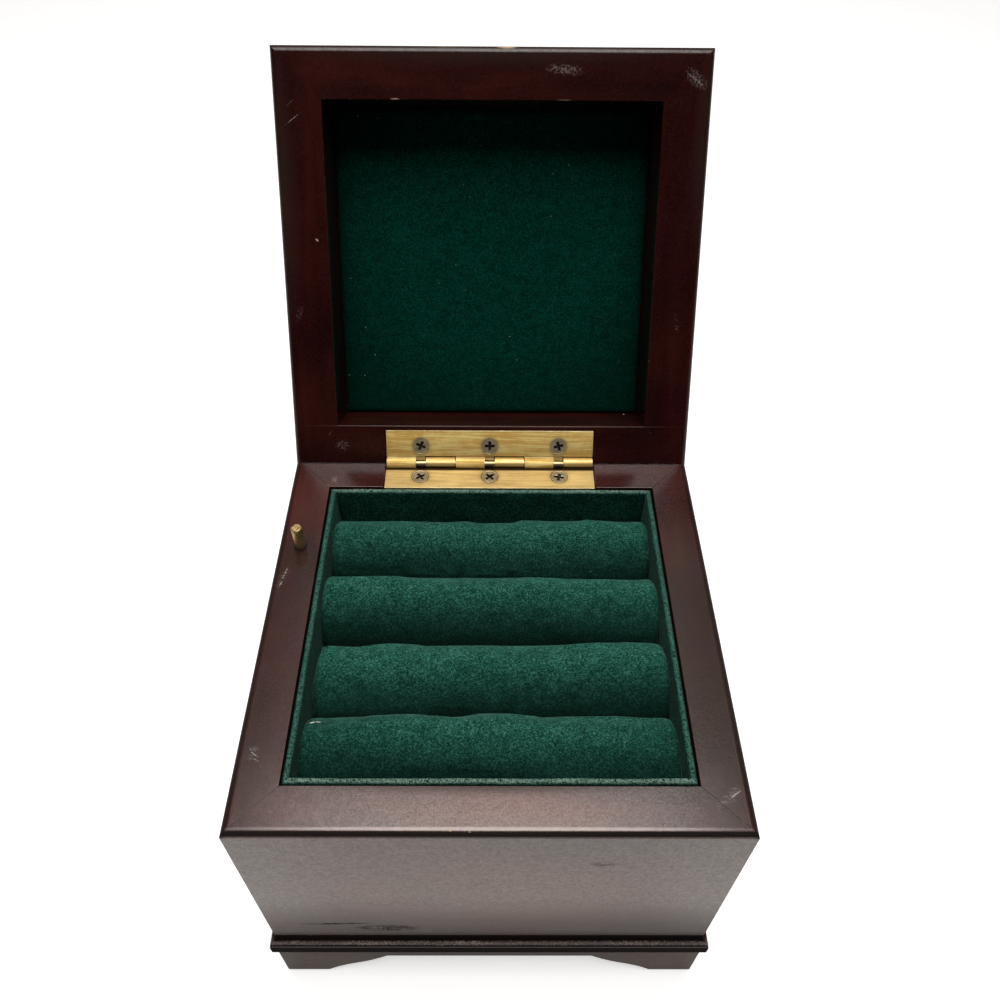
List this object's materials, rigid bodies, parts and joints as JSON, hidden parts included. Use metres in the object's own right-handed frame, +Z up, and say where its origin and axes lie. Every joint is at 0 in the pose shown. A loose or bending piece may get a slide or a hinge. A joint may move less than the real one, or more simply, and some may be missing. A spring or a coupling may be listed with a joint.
{
  "type": "musical ring display box",
  "caption": "Wooden box on bracket feet with a lift-up lid on a brass butt hinge, a tray of padded ring rolls and a wind-up movement stopped by a plunger in the rim.",
  "frame": {"origin": "on the floor, under the middle of the box: the middle of its footprint", "axes": "+X to the right, +Y to the back where the hinge is, +Z up"},
  "size_m": [0.1374, 0.2172, 0.2238],
  "materials": {
    "case_wood": "satin lacquer over dark red-brown hardwood",
    "plinth_wood": "satin lacquer over dark red-brown hardwood",
    "lid_wood": "satin lacquer over dark red-brown hardwood",
    "plywood": "bare plywood",
    "tray_suede": "dark green suede over card",
    "roll_suede": "dark green suede",
    "roll_foam": "soft foam",
    "lid_felt": "dark green felt on card",
    "hinge_brass": "worn, satin",
    "screw_brass": "antique",
    "plunger_brass": "pitted, satin",
    "movement_brass": "satin",
    "movement_casting": "as cast",
    "movement_steel": "satin"
  },
  "bodies": {
    "base": {"front_board": "case_wood", "right_board": "case_wood", "back_board": "case_wood", "left_board": "case_wood", "moulding_front": "plinth_wood", "moulding_right": "plinth_wood", "moulding_back": "plinth_wood", "moulding_left": "plinth_wood", "apron_front": "plinth_wood", "apron_right": "plinth_wood", "apron_back": "plinth_wood", "apron_left": "plinth_wood", "corner_blocks": "plywood", "bottom_panel": "plywood", "bottom_screws": "screw_brass", "tray_rests": "plywood", "tray_front": "tray_suede", "tray_right": "tray_suede", "tray_back": "tray_suede", "tray_left": "tray_suede", "tray_floor": "tray_suede", "roll_core_1": "roll_foam", "roll_core_2": "roll_foam", "roll_core_3": "roll_foam", "roll_core_4": "roll_foam", "roll_cover_1": "roll_suede", "roll_cover_2": "roll_suede", "roll_cover_3": "roll_suede", "roll_cover_4": "roll_suede", "base_leaf": "hinge_brass", "hinge_pin": "hinge_brass", "base_leaf_screws": "screw_brass", "plunger_spring": "movement_steel", "movement_plate": "movement_casting", "movement_screws": "movement_steel", "music_comb": "movement_steel", "comb_screws": "movement_steel", "governor_bracket": "movement_steel"},
    "lid": {"lid_front": "lid_wood", "lid_right": "lid_wood", "lid_back": "lid_wood", "lid_left": "lid_wood", "lid_panel": "lid_wood", "lid_lining": "lid_felt", "lid_leaf": "hinge_brass", "lid_leaf_screws": "screw_brass"},
    "plunger": {"plunger_rod": "plunger_brass", "plunger_collar": "movement_brass", "stop_arm": "movement_brass"},
    "winding": {"spring_barrel": "movement_brass", "mainspring": "movement_steel", "winding_shaft": "movement_steel", "winding_key": "movement_brass"},
    "cylinder": {"music_cylinder": "movement_brass"},
    "governor_wheel": {"governor_wheel": "movement_brass"},
    "governor_fan": {"governor_fan": "movement_steel"}
  },
  "joints": [
    {"name": "lid_hinge", "type": "hinge", "parent": "base", "child": "lid", "pos_m": [0, 0.063, 0.1139], "axis": [1, 0, 0], "range_deg": [0, 120]},
    {"name": "plunger_slide", "type": "slide", "parent": "base", "child": "plunger", "axis": [0, 0, -1], "range_m": [0, 0.0086], "stiffness_N_per_m": 40, "springref_m": -0.01, "deforming": ["plunger_spring"]},
    {"name": "key_turn", "type": "hinge", "parent": "base", "child": "winding", "pos_m": [0.01295, 0.0118, 0.032], "axis": [0, 0, 1], "continuous": true},
    {"name": "cylinder_turn", "type": "hinge", "parent": "base", "child": "cylinder", "pos_m": [-0.013, 0.0118, 0.04007], "axis": [1, 0, 0], "continuous": true},
    {"name": "governor_wheel_turn", "type": "hinge", "parent": "base", "child": "governor_wheel", "pos_m": [-0.026, 0.0198, 0.04007], "axis": [1, 0, 0], "continuous": true},
    {"name": "governor_fan_turn", "type": "hinge", "parent": "base", "child": "governor_fan", "pos_m": [-0.03, 0.0264, 0.04], "axis": [0, 0, 1], "continuous": true}
  ],
  "couplings": [
    {"joint": "plunger_slide", "follows": "lid_hinge", "m_per_rad": 0.0040584},
    {"joint": "cylinder_turn", "follows": "key_turn", "ratio": -3},
    {"joint": "governor_wheel_turn", "follows": "key_turn", "ratio": 12},
    {"joint": "governor_fan_turn", "follows": "key_turn", "ratio": 48}
  ]
}
